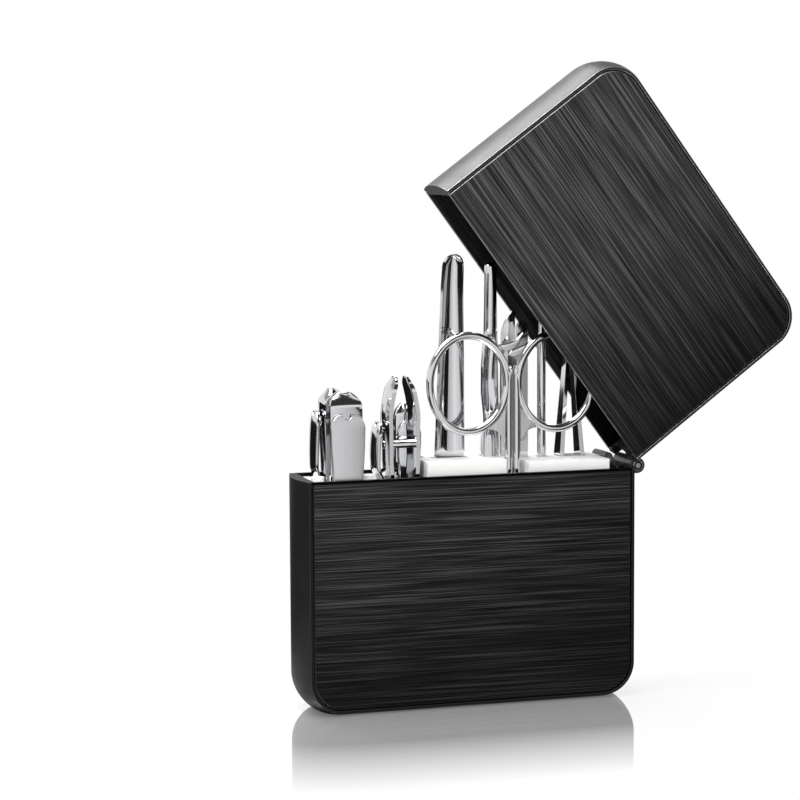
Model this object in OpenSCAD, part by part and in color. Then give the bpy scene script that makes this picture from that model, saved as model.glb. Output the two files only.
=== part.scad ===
// Pocket manicure set in a flip-top case: a black case in two halves on a side hinge, a white
// moulded tray, and twelve polished steel tools that stand in the tray and lift out upwards.
// Millimetres. +Z is up, the front of the case faces -Y, and the origin is the middle of the
// flat foot under the case. The lid is drawn open, turned about the hinge pin.

/* [Case] */
// Overall width of the case over its bowed ends
case_w = 80; // [72:1:96]
// Thickness of the case over the two face plates
case_t = 17.6; // [17:0.2:22]
// Height of the lower half, foot to parting line
body_h = 53; // [46:1:62]
// Height of the lid, parting line to crown
lid_h = 52; // [50.5:0.5:62]
// How far the ends bow out past the edges of the face plates
bow = 1.5; // [1:0.1:1.8]
// How much of the bow is flattened off under the foot and on the crown
flat_cut = 0.9; // [0.5:0.1:0.9]
// Corner radius of the face outline
corner_r = 7.5; // [6:0.5:12]
// Width of the frame edge that shows round each face plate
frame_lip = 0.6; // [0.4:0.1:0.9]
// Inset of the frame's inner wall from the face outline
frame_in = 1.3; // [1.2:0.1:1.8]
// Thickness of the brushed face plates
plate_t = 1; // [0.8:0.1:1.2]
// Bevel round each face plate
plate_bevel = 0.35; // [0.2:0.05:0.5]
// Seam between a face plate and the frame round it
seam = 0.15; // [0.1:0.05:0.25]
// Gap at the parting line when the lid is shut
parting_gap = 0.2; // [0.1:0.05:0.4]
// Angle of the lid from shut, as it stands open
lid_open = 53.6; // [50:0.1:90]

/* [Hinge] */
// Distance of the hinge pin outside the bowed end
hinge_out = 0.5; // [0.3:0.1:1]
// Outer radius of the hinge knuckles
knuckle_r = 1.8; // [1.6:0.1:2.2]
// Length of the hinge
hinge_len = 11; // [9:0.5:12]
// Radius of the hinge pin
pin_r = 0.8; // [0.6:0.05:0.9]
// Length of the hinge leaves down the inside of the end walls
leaf_len = 13; // [11:0.5:16]
// Thickness of the hinge leaves
leaf_t = 0.6; // [0.5:0.1:0.8]
// Thickness of the black leaf spring behind the hinge
spring_t = 0.5; // [0.4:0.1:0.6]
// Width of the leaf spring
spring_w = 8; // [6:0.5:9]
// Radius of the spring's rolled nose
nose_r = 1; // [0.8:0.1:1.2]
// Radius of the rivets that hold the leaves
rivet_r = 0.7; // [0.5:0.05:0.9]

/* [Tray] */
// Play between the tray and the inside of the case
tray_gap = 0.2; // [0.1:0.05:0.4]
// Depth of the low deck below the parting line
deck_down = 0.8; // [0.4:0.1:1.5]
// Height of the round pads beside the clippers above the parting line
pad_up = 0.4; // [0.2:0.1:0.8]
// Height of the left raised block above the parting line
left_block_up = 3.1; // [2:0.1:4]
// Height of the right raised block above the parting line
right_block_up = 2.2; // [1.5:0.1:4]
// Play round each tool in its pocket
tool_play = 0.3; // [0.2:0.05:0.4]

/* [Nail clippers] */
// Thickness of a clipper's two leaves
leaf_steel = 0.9; // [0.8:0.1:1.1]
// Thickness of a clipper's thumb lever
lever_steel = 0.8; // [0.7:0.1:1]
// Radius of a clipper's pin
clipper_pin_r = 0.9; // [0.7:0.1:1.1]
// Length of the front clipper
front_clipper_len = 60; // [54:1:62]
// Width of the front clipper
front_clipper_w = 8; // [7:0.2:8.6]
// Length of the left clipper
left_clipper_len = 54; // [50:1:56]
// Width of the left clipper
left_clipper_w = 6.8; // [6:0.1:7]
// Length of the cuticle clipper with the long jaws
cuticle_clipper_len = 61; // [56:1:63]
// Width of the cuticle clipper
cuticle_clipper_w = 7; // [6:0.2:7.2]
// Length of the slim clipper behind the cuticle clipper
back_clipper_len = 52; // [48:1:56]
// Width of the slim clipper
back_clipper_w = 5.6; // [5:0.1:6]

/* [Scissors] */
// Thickness of the scissors
scissors_t = 1.8; // [1.6:0.1:2]
// Outside width of a finger ring
ring_w = 20; // [18:0.5:20.5]
// Outside height of a finger ring
ring_h = 23.6; // [22:0.2:26]
// Radius of the ring wire
ring_wire_r = 0.85; // [0.7:0.05:0.9]
// Height of the ring centres above the parting line
ring_up = 20.2; // [18:0.2:22]
// Depth of the pivot screw below the parting line
pivot_down = 21; // [16:1:24]
// Length of the blades below the pivot screw
blade_len = 26; // [20:1:27]

/* [Slim tools] */
// Height of the cuticle pusher's top above the parting line
pusher_up = 49.4; // [44:0.2:49.6]
// Width of the cuticle pusher's handle
pusher_w = 8.4; // [7:0.2:8.6]
// Radius of the ear pick's knurled handle
pick_handle_r = 1.9; // [1.6:0.05:1.9]
// Height of the ear pick's top above the parting line
pick_up = 47.2; // [42:0.2:48]
// Height of the probe's point above the parting line
probe_up = 43; // [38:0.5:45]
// Height of the cuticle knife's point above the parting line
knife_up = 36.3; // [30:0.5:40]
// Height of the nail file's top above the parting line
file_up = 33.5; // [28:0.5:38]
// Height of the nail cleaner's top above the parting line
cleaner_up = 38; // [30:0.5:40]
// Height of the tweezers' tips above the parting line
tweezers_up = 31; // [28:0.5:36]
// Width of the tweezers' arms
tweezers_w = 4.5; // [3.5:0.1:5]

/* [Hidden] */
$fn = 64;
eps = 0.01;

// Case
face_w = case_w - 2 * bow;
foot_z = bow - flat_cut;
half_t = case_t / 2;
bow_r = (half_t * half_t + bow * bow) / (2 * bow);
inner_x = face_w / 2 - frame_in;
inner_y = half_t - plate_t;
inner_z = foot_z + frame_in;
hinge_x = case_w / 2 + hinge_out;
hinge_z = body_h + parting_gap / 2;

// Hinge
knuckle_gap = 0.1;
knuckle_clear = 0.3;
pin_fit = 0.03;
mid_knuckle = hinge_len / 3;
pin_head_r = 1.15;
pin_head_t = 0.5;
notch_len = hinge_len + 2 * (pin_head_t + knuckle_clear);
leaf_w = hinge_len - 0.4;
leaf_drop = knuckle_r - leaf_t;
spring_x = inner_x - leaf_t;
spring_up = 3.2;
spring_lean = 1.6;
rivet_bite = 1.5;
rivet_head_r = 1.2;
rivet_head_t = 0.4;
rivet_pitch = 6;
rivet_drop = 8.5;

// Tray
tray_x = inner_x - tray_gap;
tray_y = inner_y - tray_gap;
deck_z = body_h - deck_down;
pad_z = body_h + pad_up;
pad_r = 1.6;
pad_y = -3;
left_block_z = body_h + left_block_up;
right_block_z = body_h + right_block_up;
left_block_x0 = -12;
right_block_x1 = 32.8;
spring_room_x = 34.9 + (inner_x - 37.2);
spring_room_z = body_h - leaf_len - 2;
seat = 0.3;

// Nail clippers: what shapes the jaws is [height of the curve, how far it comes in, inner half
// gap at the pin, top above the parting line]. The cuticle clipper's are long, like pincers.
short_jaw = [5, 1.6, 1.9, 19.3];
long_jaw = [13, 2, 3, 22.1];
slim_jaw = [4, 0.75, 0.9, 15.4];
leaf_gap = 0.1;
pin_below_jaw = 2.2;
lever_above_pin = 2.4;
lever_stand = 0.3;
clipper_head_t = 0.4;
clipper_head_r = 1.7;
roll_r = (lever_steel + clipper_head_t) / 2;

function clipper_half(jaw) = jaw[2] + leaf_steel;
function clipper_front(jaw) = clipper_half(jaw) + lever_stand + lever_steel + clipper_head_t;
function clipper_back(jaw) = clipper_half(jaw) + clipper_head_t;
function clipper_top(jaw) = body_h + jaw[3];

// Where each tool stands, as [x, y]. The front and left clippers stand midway between the end
// wall and the cuticle clipper, and the tweezers midway between the nail cleaner and the spring.
cuticle_clipper_at = [-15.4, -1.9];
left_group_x = -(inner_x + 20.8) / 2;
front_clipper_at = [left_group_x, -inner_y + tool_play + clipper_front(short_jaw)];
left_clipper_at = [left_group_x - 0.6, 3.95];
back_clipper_at = [-11.9, inner_y - tool_play - clipper_back(slim_jaw)];
scissors_at = [10.6, -4];
pusher_at = [-3.9, 1.2];
pick_at = [6.6, 1.2];
probe_at = [9.4, 4.5];
knife_at = [13, 6];
file_at = [15.1, 2.4];
cleaner_at = [20.1, 3];
tweezers_at = [(cleaner_at[0] + inner_x - 3.5) / 2, 3];

// Scissors
shank_w = 1.85;
half_gap = 0.05;
pivot_r = 2.4;
screw_r = 1;
screw_head_r = 2;
screw_head_t = 0.5;
ring_steps = 60;
ring_x = ring_w / 2 + 0.5;

// The front slot for the scissors, between the two raised blocks
channel_x0 = scissors_at[0] - pivot_r - tool_play;
channel_x1 = scissors_at[0] + pivot_r + tool_play;
channel_y = -1;

// Slim tools
pusher_lean = 1.1;
tool_floor = inner_z + 3;
slim_foot = tool_floor + seat;
pusher_steel = 0.7;
pusher_top_w = 5;
pusher_sag = 1.2;
pusher_section_r = (pusher_w * pusher_w / 4 + pusher_sag * pusher_sag) / (2 * pusher_sag);
flat_steel = 1;
probe_w = 1.6;
knife_w = 4;
file_w = 2.7;
cleaner_r = 1;
tweezers_steel = 1;
tweezers_half = 3.1;

black = [0.06, 0.06, 0.065];
steel = [0.78, 0.79, 0.8];
milk = [0.93, 0.93, 0.91];

// ---- Shared forms -------------------------------------------------------------------------

// Sweeps a section, drawn as x = outwards from the face outline and y = depth, down the left
// side, round the bottom and up the right side of an outline that is open at the top.
module u_sweep(w, h, r) {
    for (s = [-1, 1]) {
        translate([s * w / 2, 0, r]) scale_x(s) linear_extrude(h - r) children();
        translate([s * (w / 2 - r), 0, r]) scale_x(s) rotate([90, 0, 0])
            rotate([0, 0, -90]) rotate_extrude(angle = 90) translate([r, 0]) children();
    }
    rotate([0, 90, 0]) translate([0, 0, -(w / 2 - r)]) linear_extrude(w - 2 * r) children();
}

// Mirrors its children in X when s is -1.
module scale_x(s) {
    if (s < 0) mirror([1, 0, 0]) children();
    else children();
}

// A flat outline with round lower corners and a square top, drawn in X and Z.
module u_plate(w, h, r, t) {
    rotate([90, 0, 0]) linear_extrude(t, center = true) union() {
        translate([-w / 2, r]) square([w, h - r]);
        translate([-(w / 2 - r), 0]) square([w - 2 * r, r + eps]);
        for (s = [-1, 1]) translate([s * (w / 2 - r), r]) circle(r);
    }
}

// Half of the case: the bowed frame, standing open at the top, its foot at z = 0.
module frame(h) {
    difference() {
        translate([0, 0, foot_z]) u_sweep(face_w, h - foot_z, corner_r) frame_section();
        translate([-case_w, -case_t, -5]) cube([2 * case_w, 2 * case_t, 5]);
        // room for the hinge knuckles and leaves in the end wall
        translate([inner_x - 1, -notch_len / 2, h - knuckle_r - knuckle_gap])
            cube([10, notch_len, 10]);
        for (s = [-1, 1]) translate([inner_x - 1, s * rivet_pitch / 2, h - rivet_drop])
            rotate([0, 90, 0]) cylinder(r = rivet_r + pin_fit, h = 1 + rivet_bite + pin_fit);
    }
}

module frame_section() {
    difference() {
        intersection() {
            translate([bow - bow_r, 0]) circle(bow_r, $fn = 256);
            translate([-frame_in, -half_t]) square([frame_in + bow + 1, case_t]);
        }
        for (s = [-1, 1]) translate([-frame_in - 1, s > 0 ? inner_y : -half_t - 1])
            square([frame_in + 1 - frame_lip, plate_t + 1]);
    }
}

// A brushed face plate with a bevelled edge, its outer face towards -Y at y = -half_t.
module face_plate(h) {
    inset = frame_lip + seam;
    w = face_w - 2 * inset;
    z0 = foot_z + inset;
    r = corner_r - inset;
    translate([0, -half_t + plate_bevel + (plate_t - plate_bevel) / 2, z0])
        u_plate(w, h - z0, r, plate_t - plate_bevel);
    translate([0, -half_t + plate_bevel / 2, z0]) intersection() {
        u_plate(w, h - z0, r, plate_bevel);
        hull() {
            translate([0, plate_bevel / 2, 0]) u_plate(w, h - z0 + 1, r, 2 * eps);
            translate([0, -plate_bevel / 2, plate_bevel])
                u_plate(w - 2 * plate_bevel, h - z0 + 1, r - plate_bevel, 2 * eps);
        }
    }
}

// Puts a piece of the lid, drawn upside down like the lower half, on the case at its open angle.
module as_lid() {
    turn_lid() translate([0, 0, body_h + lid_h]) mirror([0, 0, 1]) children();
}

module turn_lid() {
    translate([hinge_x, 0, hinge_z]) rotate([0, lid_open, 0])
        translate([-hinge_x, 0, -hinge_z]) children();
}

// ---- Case ---------------------------------------------------------------------------------

module body_frame() { color(black) frame(body_h); }
module body_front_plate() { color(black) face_plate(body_h); }
module body_back_plate() { color(black) mirror([0, 1, 0]) face_plate(body_h); }
module lid_frame() { color(black) as_lid() frame(lid_h - parting_gap); }
module lid_front_plate() { color(black) as_lid() face_plate(lid_h - parting_gap); }
module lid_back_plate() { color(black) as_lid() mirror([0, 1, 0]) face_plate(lid_h - parting_gap); }

// ---- Hinge --------------------------------------------------------------------------------

// One hinge leaf, drawn below the pin at the origin: knuckles, a tab through the wall, a plate
// down the inside of the wall with two rivet holes.
module hinge_leaf(spans) {
    wall = hinge_x - inner_x;
    difference() {
        union() {
            for (span = spans) {
                translate([0, span[1], 0]) rotate([90, 0, 0])
                    cylinder(r = knuckle_r, h = span[1] - span[0]);
                translate([-wall - leaf_t, span[0], -knuckle_r])
                    cube([wall + leaf_t, span[1] - span[0], leaf_t]);
            }
            translate([-wall - leaf_t, -leaf_w / 2, -leaf_len])
                cube([leaf_t, leaf_w, leaf_len - leaf_drop]);
        }
        rotate([90, 0, 0]) cylinder(r = pin_r + pin_fit, h = 2 * hinge_len, center = true);
        for (s = [-1, 1])
            translate([-wall - leaf_t - 1, s * rivet_pitch / 2, -rivet_drop - parting_gap / 2])
            rotate([0, 90, 0]) cylinder(r = rivet_r + pin_fit, h = leaf_t + 2);
    }
}

// Two rivets through a leaf, and what else is under their heads, into the wall.
module leaf_rivets(grip) {
    for (s = [-1, 1]) translate([inner_x - grip, s * rivet_pitch / 2, body_h - rivet_drop])
        rotate([0, 90, 0]) {
            translate([0, 0, -eps]) cylinder(r = rivet_r, h = grip + rivet_bite);
            translate([0, 0, -rivet_head_t]) cylinder(r = rivet_head_r, h = rivet_head_t);
        }
}

module hinge_leaf_body() {
    color(black) translate([hinge_x, 0, hinge_z])
        hinge_leaf([[-hinge_len / 2, -mid_knuckle / 2 - knuckle_gap],
                    [mid_knuckle / 2 + knuckle_gap, hinge_len / 2]]);
}

module hinge_leaf_lid() {
    color(black) turn_lid() translate([hinge_x, 0, hinge_z]) mirror([0, 0, 1])
        hinge_leaf([[-mid_knuckle / 2, mid_knuckle / 2]]);
}

module hinge_pin() {
    color(steel) translate([hinge_x, 0, hinge_z]) rotate([90, 0, 0]) {
        cylinder(r = pin_r, h = hinge_len + 2 * eps, center = true);
        for (s = [-1, 1]) translate([0, 0, s * (hinge_len / 2 + pin_head_t / 2)])
            cylinder(r = pin_head_r, h = pin_head_t, center = true);
    }
}

module hinge_spring() {
    nose_z = body_h + spring_up - nose_r;
    color(black) difference() {
        rotate([90, 0, 0]) linear_extrude(spring_w, center = true) union() {
            polygon([[spring_x - spring_t, body_h - leaf_len], [spring_x, body_h - leaf_len],
                [spring_x, body_h - 0.8], [spring_x - spring_lean, nose_z],
                [spring_x - spring_lean - spring_t, nose_z], [spring_x - spring_t, body_h - 0.8]]);
            translate([spring_x - spring_lean - nose_r, nose_z]) difference() {
                circle(nose_r);
                circle(nose_r - spring_t);
                translate([-2 * nose_r, -2 * nose_r]) square([4 * nose_r, 2 * nose_r]);
            }
        }
        for (s = [-1, 1]) translate([spring_x - 2, s * rivet_pitch / 2, body_h - rivet_drop])
            rotate([0, 90, 0]) cylinder(r = rivet_r + pin_fit, h = 4);
    }
}

module body_leaf_rivets() { color(black) leaf_rivets(leaf_t + spring_t); }
module lid_leaf_rivets() {
    color(black) as_lid() translate([0, 0, lid_h - body_h - parting_gap]) leaf_rivets(leaf_t);
}

// ---- Tray ---------------------------------------------------------------------------------

// A pocket for a tool: a slot of the tool's own width and depth plus its play, from a floor up.
module pocket(at, size, floor_z) {
    translate([at[0] - size[0] / 2 - tool_play, at[1] - size[1] / 2 - tool_play, floor_z])
        cube([size[0] + 2 * tool_play, size[1] + 2 * tool_play, 2 * body_h]);
}

// The outside of the tray: the inside of the case less its play, up to the deck and blocks.
module tray_blank() {
    union() {
        translate([0, 0, inner_z + tray_gap])
            u_plate(2 * tray_x, deck_z - inner_z - tray_gap, corner_r - frame_in, 2 * tray_y);
        translate([left_block_x0, -tray_y, deck_z - eps])
            cube([channel_x0 - left_block_x0, 2 * tray_y, left_block_z - deck_z + eps]);
        translate([channel_x0 - eps, channel_y, deck_z - eps])
            cube([channel_x1 - channel_x0 + 2 * eps, tray_y - channel_y, right_block_z - deck_z + eps]);
        translate([channel_x1, -tray_y, deck_z - eps])
            cube([right_block_x1 - channel_x1, 2 * tray_y, right_block_z - deck_z + eps]);
        // round pads each side of the front clipper
        for (x = [(-tray_x + front_clipper_at[0] - front_clipper_w / 2 - tool_play) / 2,
                  (front_clipper_at[0] + front_clipper_w / 2 + cuticle_clipper_at[0]
                   - clipper_front(long_jaw)) / 2])
            translate([x, pad_y, deck_z - eps]) cylinder(r = pad_r, h = pad_z - deck_z + eps);
    }
}

module tray() {
    color(milk) difference() {
        tray_blank();
        translate([spring_room_x, -hinge_len / 2 - 0.5, spring_room_z])
            cube([10, hinge_len + 1, body_h]);
        clipper_pocket(front_clipper_at, 0, front_clipper_len, front_clipper_w, short_jaw);
        clipper_pocket(left_clipper_at, -90, left_clipper_len, left_clipper_w, short_jaw);
        clipper_pocket(cuticle_clipper_at, -90, cuticle_clipper_len, cuticle_clipper_w, long_jaw);
        clipper_pocket(back_clipper_at, 0, back_clipper_len, back_clipper_w, slim_jaw);
        // the cuticle clipper's pocket is open to the front
        translate([cuticle_clipper_at[0] - clipper_front(long_jaw) - tool_play, -tray_y - 1,
            clipper_top(long_jaw) - cuticle_clipper_len - seat])
            cube([clipper_front(long_jaw) + clipper_back(long_jaw) + 2 * tool_play,
                tray_y + 1 + cuticle_clipper_at[1], 2 * body_h]);
        pocket(scissors_at, [2 * pivot_r, scissors_t + 2 * screw_head_t],
            body_h - pivot_down - blade_len - seat);
        translate([pusher_at[0], pusher_at[1], slim_foot]) rotate([0, pusher_lean, 0])
            pocket([0, 0], [pusher_w, pusher_sag + pusher_steel], -seat);
        pocket(pick_at, [2 * pick_handle_r, 2 * pick_handle_r], tool_floor);
        pocket(probe_at, [probe_w, flat_steel], tool_floor);
        pocket(knife_at, [knife_w, flat_steel], tool_floor);
        pocket(file_at, [file_w, flat_steel], tool_floor);
        pocket(cleaner_at, [2 * cleaner_r, 2 * cleaner_r], tool_floor);
        pocket(tweezers_at, [2 * tweezers_half, tweezers_w], tool_floor);
    }
}

// ---- Nail clippers ------------------------------------------------------------------------

// A clipper is drawn with its tail at z = 0, jaws up, lever towards -Y. Its leaves meet at the
// tail, spread to the pin and curve in again to the cutting edges.
module leaf_side(len, jaw) {
    shoulder = len - jaw[0];
    half = clipper_half(jaw);
    r = (jaw[0] * jaw[0] + jaw[1] * jaw[1]) / (2 * jaw[1]);
    tail = 6;
    inner = leaf_gap / 2;
    polygon([[inner, 0], [inner + leaf_steel, 0], [inner + leaf_steel, tail], [half, shoulder - 6],
        [half, shoulder], [jaw[2], shoulder], [jaw[2], shoulder - 6], [inner, tail]]);
    translate([half - r, shoulder]) intersection() {
        difference() { circle(r, $fn = 128); circle(r - leaf_steel, $fn = 128); }
        translate([0, -eps]) square([r, jaw[0] + eps]);
    }
}

// The leaf seen from its face: narrow tail, full width at the jaws, round shoulders and a hollow
// cutting edge.
module leaf_face(len, w) {
    tail_w = 0.78 * w;
    shoulder_r = 0.27 * w;
    difference() {
        union() {
            polygon([[-tail_w / 2 + 1, 0], [tail_w / 2 - 1, 0], [tail_w / 2, 1], [w / 2, len * 0.6],
                [w / 2, len - shoulder_r], [-w / 2, len - shoulder_r], [-w / 2, len * 0.6],
                [-tail_w / 2, 1]]);
            translate([-w / 2 + shoulder_r, len - shoulder_r - eps])
                square([w - 2 * shoulder_r, shoulder_r + eps]);
            for (s = [-1, 1]) translate([s * (w / 2 - shoulder_r), len - shoulder_r])
                circle(shoulder_r);
        }
        translate([0, len + 0.75 * w]) circle(0.87 * w);
    }
}

module clipper_leaf(len, w, jaw) {
    difference() {
        intersection() {
            rotate([90, 0, 90]) linear_extrude(w, center = true) mirror([1, 0]) leaf_side(len, jaw);
            rotate([90, 0, 0]) linear_extrude(20, center = true) leaf_face(len, w);
        }
        translate([0, 10, len - jaw[0] - pin_below_jaw]) rotate([90, 0, 0])
            cylinder(r = clipper_pin_r + pin_fit, h = 20);
    }
}

// The thumb lever: a stamped plate with a slot for the pin, a roll across its top, and two
// cheeks that bear on the leaf.
module clipper_lever(len, w, jaw) {
    pin_z = len - jaw[0] - pin_below_jaw;
    top = pin_z + lever_above_pin;
    half = clipper_half(jaw);
    top_r = 0.22 * w;
    difference() {
        union() {
            translate([0, -half - lever_stand - lever_steel / 2, 0]) rotate([90, 0, 0])
                linear_extrude(lever_steel, center = true) union() {
                    polygon([[-w * 0.42, 2], [w * 0.42, 2], [w * 0.45, 3], [w / 2, pin_z - 3],
                        [w / 2, top - top_r], [-w / 2, top - top_r], [-w / 2, pin_z - 3],
                        [-w * 0.45, 3]]);
                    translate([-w / 2 + top_r, top - top_r - eps]) square([w - 2 * top_r, top_r + eps]);
                    for (s = [-1, 1]) translate([s * (w / 2 - top_r), top - top_r]) circle(top_r);
                }
            translate([0, -half - lever_stand - roll_r, top - roll_r]) rotate([0, 90, 0])
                cylinder(r = roll_r, h = w - 2 * top_r, center = true);
            for (s = [-1, 1])
                translate([s * (w / 2 - 0.9), -half - lever_stand / 2 - 0.02, pin_z - 3.2])
                cube([0.8, lever_stand - 0.04, 4], center = true);
        }
        translate([0, 0, pin_z]) rotate([90, 0, 0]) cylinder(r = clipper_pin_r + 0.15, h = 20);
        translate([-clipper_pin_r - 0.15, -20, pin_z - 1]) cube([2 * clipper_pin_r + 0.3, 20, 1]);
    }
}

module clipper_pin(len, jaw) {
    pin_z = len - jaw[0] - pin_below_jaw;
    front = clipper_front(jaw);
    back = clipper_back(jaw);
    translate([0, back, pin_z]) rotate([90, 0, 0]) {
        cylinder(r = clipper_pin_r, h = front + back - eps);
        cylinder(r = clipper_head_r, h = clipper_head_t);
        translate([0, 0, front + back - clipper_head_t])
            cylinder(r = clipper_pin_r + 0.2, h = clipper_head_t);
    }
}

module stand(at, turn, len, jaw) {
    translate([at[0], at[1], clipper_top(jaw) - len]) rotate([0, 0, turn]) children();
}

module clipper_pocket(at, turn, len, w, jaw) {
    front = clipper_front(jaw) + tool_play;
    back = clipper_back(jaw) + tool_play;
    stand(at, turn, len, jaw) translate([-w / 2 - tool_play, -front, -seat])
        cube([w + 2 * tool_play, front + back, 2 * body_h]);
}

module front_clipper_upper_leaf() {
    color(steel) stand(front_clipper_at, 0, front_clipper_len, short_jaw)
        clipper_leaf(front_clipper_len, front_clipper_w * 0.92, short_jaw);
}
module front_clipper_lower_leaf() {
    color(steel) stand(front_clipper_at, 0, front_clipper_len, short_jaw) mirror([0, 1, 0])
        clipper_leaf(front_clipper_len, front_clipper_w * 0.92, short_jaw);
}
module front_clipper_lever() {
    color(steel) stand(front_clipper_at, 0, front_clipper_len, short_jaw)
        clipper_lever(front_clipper_len, front_clipper_w, short_jaw);
}
module front_clipper_pin() {
    color(steel) stand(front_clipper_at, 0, front_clipper_len, short_jaw)
        clipper_pin(front_clipper_len, short_jaw);
}
module left_clipper_upper_leaf() {
    color(steel) stand(left_clipper_at, -90, left_clipper_len, short_jaw)
        clipper_leaf(left_clipper_len, left_clipper_w, short_jaw);
}
module left_clipper_lower_leaf() {
    color(steel) stand(left_clipper_at, -90, left_clipper_len, short_jaw) mirror([0, 1, 0])
        clipper_leaf(left_clipper_len, left_clipper_w, short_jaw);
}
module left_clipper_lever() {
    color(steel) stand(left_clipper_at, -90, left_clipper_len, short_jaw)
        clipper_lever(left_clipper_len, left_clipper_w, short_jaw);
}
module left_clipper_pin() {
    color(steel) stand(left_clipper_at, -90, left_clipper_len, short_jaw)
        clipper_pin(left_clipper_len, short_jaw);
}
module cuticle_clipper_upper_leaf() {
    color(steel) stand(cuticle_clipper_at, -90, cuticle_clipper_len, long_jaw)
        clipper_leaf(cuticle_clipper_len, cuticle_clipper_w, long_jaw);
}
module cuticle_clipper_lower_leaf() {
    color(steel) stand(cuticle_clipper_at, -90, cuticle_clipper_len, long_jaw) mirror([0, 1, 0])
        clipper_leaf(cuticle_clipper_len, cuticle_clipper_w, long_jaw);
}
module cuticle_clipper_lever() {
    color(steel) stand(cuticle_clipper_at, -90, cuticle_clipper_len, long_jaw)
        clipper_lever(cuticle_clipper_len, cuticle_clipper_w, long_jaw);
}
module cuticle_clipper_pin() {
    color(steel) stand(cuticle_clipper_at, -90, cuticle_clipper_len, long_jaw)
        clipper_pin(cuticle_clipper_len, long_jaw);
}
module back_clipper_upper_leaf() {
    color(steel) stand(back_clipper_at, 0, back_clipper_len, slim_jaw)
        clipper_leaf(back_clipper_len, back_clipper_w, slim_jaw);
}
module back_clipper_lower_leaf() {
    color(steel) stand(back_clipper_at, 0, back_clipper_len, slim_jaw) mirror([0, 1, 0])
        clipper_leaf(back_clipper_len, back_clipper_w, slim_jaw);
}
module back_clipper_lever() {
    color(steel) stand(back_clipper_at, 0, back_clipper_len, slim_jaw)
        clipper_lever(back_clipper_len, back_clipper_w, slim_jaw);
}
module back_clipper_pin() {
    color(steel) stand(back_clipper_at, 0, back_clipper_len, slim_jaw)
        clipper_pin(back_clipper_len, slim_jaw);
}

// ---- Scissors -----------------------------------------------------------------------------

// An upright oval disc, drawn in X and Z.
module oval_disc(w, h, t) {
    rotate([90, 0, 0]) linear_extrude(t, center = true)
        polygon([for (k = [0:ring_steps - 1]) let (a = 360 * k / ring_steps)
            [w / 2 * cos(a), h / 2 * sin(a)]]);
}

// A finger ring: an oval band with its edges stepped back, so that its section is near round.
module oval_ring() {
    round_off = 0.3 * ring_wire_r;
    difference() {
        union() {
            oval_disc(ring_w, ring_h, ring_wire_r);
            oval_disc(ring_w - 2 * round_off, ring_h - 2 * round_off, 2 * ring_wire_r);
        }
        oval_disc(ring_w - 4 * ring_wire_r, ring_h - 4 * ring_wire_r, ring_wire_r + eps);
        for (s = [-1, 1]) translate([0, s * 1.5 * ring_wire_r, 0])
            oval_disc(ring_w - 4 * ring_wire_r + 2 * round_off,
                ring_h - 4 * ring_wire_r + 2 * round_off, 2 * ring_wire_r);
    }
}

// One half: a ring on the -X side, its shank, the lapped pivot and a curved blade. It is drawn
// with the pivot at the origin and the front half of the lap.
module scissors_half() {
    ring_z = ring_up + pivot_down;
    lap = pivot_r + 0.4;
    t = scissors_t;
    union() {
        translate([-ring_x, 0, ring_z]) oval_ring();
        // shank, flaring into the underside of the ring
        rotate([90, 0, 0]) linear_extrude(t, center = true)
            polygon([[-half_gap, lap], [-half_gap, ring_z], [-half_gap - 0.7, ring_z + 2],
                [-half_gap - 0.55, ring_z - 4], [-half_gap - shank_w, ring_z - ring_h / 2 + 3.5],
                [-half_gap - 3.4, ring_z - ring_h / 2 + 1.9], [-half_gap - 2.4, ring_z - ring_h / 2 + 1.1],
                [-half_gap - shank_w, ring_z - ring_h / 2 - 1], [-half_gap - shank_w, lap]]);
        // finger stop between the rings
        rotate([90, 0, 0]) linear_extrude(t, center = true)
            polygon([[-half_gap, ring_z + 1], [-half_gap, ring_z + 4], [-2.0, ring_z + 7.5],
                [-1.6, ring_z + 4], [-1, ring_z + 1]]);
        // lapped pivot and blade, in the front half of the thickness
        difference() {
            translate([0, -t / 4 - half_gap / 2, 0]) rotate([90, 0, 0])
                linear_extrude(t / 2 - half_gap, center = true) union() {
                    circle(pivot_r);
                    polygon([[-half_gap, lap], [-half_gap - shank_w, lap], [-pivot_r + 0.2, 1.2],
                        [0, 0], [-half_gap, 3]]);
                    polygon(concat([[0.3, -blade_len], [-1, -blade_len * 0.4], [-1.6, 0]],
                        [for (k = [0:8])
                            [0.4 + (pivot_r - 0.5) * (1 - pow(k / 8, 1.8)), -blade_len * k / 8]]));
                }
            rotate([90, 0, 0]) cylinder(r = screw_r + pin_fit, h = 10, center = true);
        }
    }
}

module at_pivot() {
    translate([scissors_at[0], scissors_at[1], body_h - pivot_down]) children();
}

module scissors_left_half() { color(steel) at_pivot() scissors_half(); }
module scissors_right_half() { color(steel) at_pivot() rotate([0, 0, 180]) scissors_half(); }
module scissors_screw() {
    color(steel) at_pivot() rotate([90, 0, 0]) {
        cylinder(r = screw_r, h = scissors_t + 2 * eps, center = true);
        for (s = [-1, 1]) translate([0, 0, s * (scissors_t / 2 + screw_head_t / 2)])
            cylinder(r = screw_head_r, h = screw_head_t, center = true);
    }
}

// ---- Slim tools ---------------------------------------------------------------------------

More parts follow.
